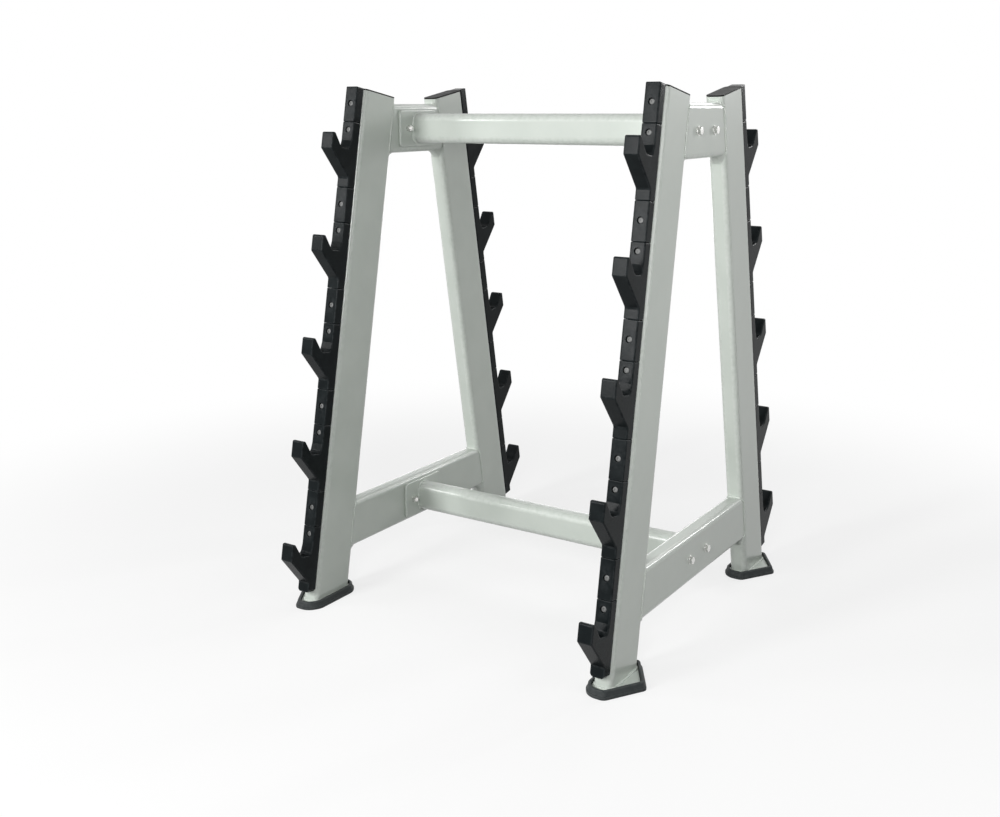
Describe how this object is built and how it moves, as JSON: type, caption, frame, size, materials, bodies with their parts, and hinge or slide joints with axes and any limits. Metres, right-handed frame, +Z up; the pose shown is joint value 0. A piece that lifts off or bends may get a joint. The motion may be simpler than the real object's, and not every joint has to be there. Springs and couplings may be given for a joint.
{
  "type": "barbell storage rack",
  "caption": "Double-sided storage rack for loaded barbells: two A-shaped tube frames joined by two bolted beams, with moulded catches down each leaning upright and rubber shoes.",
  "frame": {"origin": "centre of the base on the floor, midway between the four feet", "axes": "+Z up; +X along a stored barbell, from the left side frame to the right; -Y the front face shown nearest in the picture, +Y the rear"},
  "size_m": [1.1246, 1.194, 1.48],
  "materials": {
    "grey_paint": "satin silver-grey paint",
    "silver_paint": "satin pale silver paint",
    "black_plastic": "moulded, slightly satin",
    "shoe_rubber": "matte moulded rubber"
  },
  "bodies": {
    "root": {"left_front_upright": "grey_paint", "left_front_shoe": "shoe_rubber", "left_front_end_cap": "black_plastic", "left_front_spacer_1": "black_plastic", "left_front_catch_1": "black_plastic", "left_front_spacer_2": "black_plastic", "left_front_catch_2": "black_plastic", "left_front_spacer_3": "black_plastic", "left_front_catch_3": "black_plastic", "left_front_spacer_4": "black_plastic", "left_front_catch_4": "black_plastic", "left_front_spacer_5": "black_plastic", "left_front_catch_5": "black_plastic", "left_rear_upright": "grey_paint", "left_rear_shoe": "shoe_rubber", "left_rear_end_cap": "black_plastic", "left_rear_spacer_1": "black_plastic", "left_rear_catch_1": "black_plastic", "left_rear_spacer_2": "black_plastic", "left_rear_catch_2": "black_plastic", "left_rear_spacer_3": "black_plastic", "left_rear_catch_3": "black_plastic", "left_rear_spacer_4": "black_plastic", "left_rear_catch_4": "black_plastic", "left_rear_spacer_5": "black_plastic", "left_rear_catch_5": "black_plastic", "left_upper_cross_tube": "grey_paint", "left_lower_cross_tube": "grey_paint", "right_front_upright": "grey_paint", "right_front_shoe": "shoe_rubber", "right_front_end_cap": "black_plastic", "right_front_spacer_1": "black_plastic", "right_front_catch_1": "black_plastic", "right_front_spacer_2": "black_plastic", "right_front_catch_2": "black_plastic", "right_front_spacer_3": "black_plastic", "right_front_catch_3": "black_plastic", "right_front_spacer_4": "black_plastic", "right_front_catch_4": "black_plastic", "right_front_spacer_5": "black_plastic", "right_front_catch_5": "black_plastic", "right_rear_upright": "grey_paint", "right_rear_shoe": "shoe_rubber", "right_rear_end_cap": "black_plastic", "right_rear_spacer_1": "black_plastic", "right_rear_catch_1": "black_plastic", "right_rear_spacer_2": "black_plastic", "right_rear_catch_2": "black_plastic", "right_rear_spacer_3": "black_plastic", "right_rear_catch_3": "black_plastic", "right_rear_spacer_4": "black_plastic", "right_rear_catch_4": "black_plastic", "right_rear_spacer_5": "black_plastic", "right_rear_catch_5": "black_plastic", "right_upper_cross_tube": "grey_paint", "right_lower_cross_tube": "grey_paint", "upper_beam": "silver_paint", "lower_beam": "silver_paint"}
  },
  "joints": []
}
